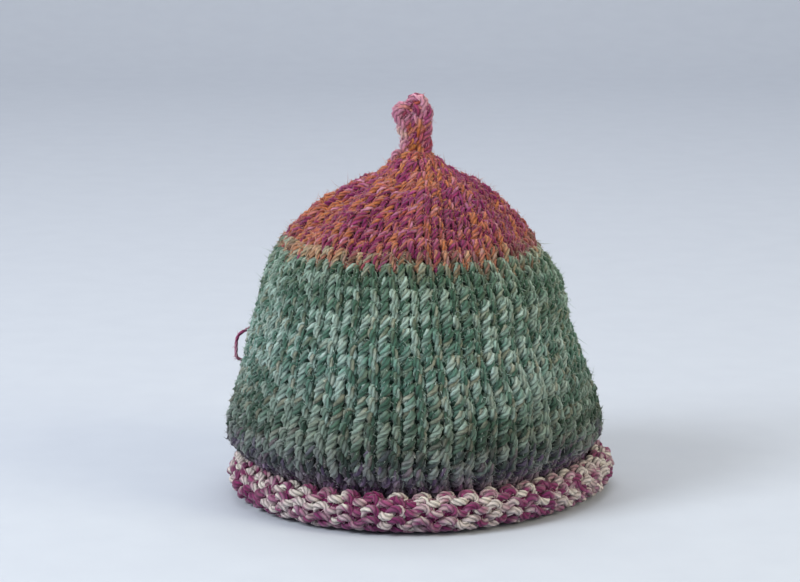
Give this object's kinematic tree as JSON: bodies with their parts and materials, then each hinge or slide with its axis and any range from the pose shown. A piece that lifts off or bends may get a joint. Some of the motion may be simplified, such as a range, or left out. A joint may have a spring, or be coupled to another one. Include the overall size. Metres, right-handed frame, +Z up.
{
  "type": "tea cosy",
  "caption": "Hand-knitted dome-shaped tea cosy of chunky wool with a rolled hem, a handle slit, a spout slit and a knitted loop on top.",
  "frame": {"origin": "centre of the outline's box, on the surface that the rolled hem rests on", "axes": "+Z up, +X towards the spout slit, -X towards the handle slit"},
  "size_m": [0.193, 0.1842, 0.1979],
  "materials": {
    "green_wool": "matte hand-knitted wool, green above a magenta and cream hem",
    "crown_wool": "matte hand-knitted wool, magenta and orange"
  },
  "bodies": {
    "root": {"cosy": "green_wool", "top_loop": "crown_wool"}
  },
  "joints": []
}
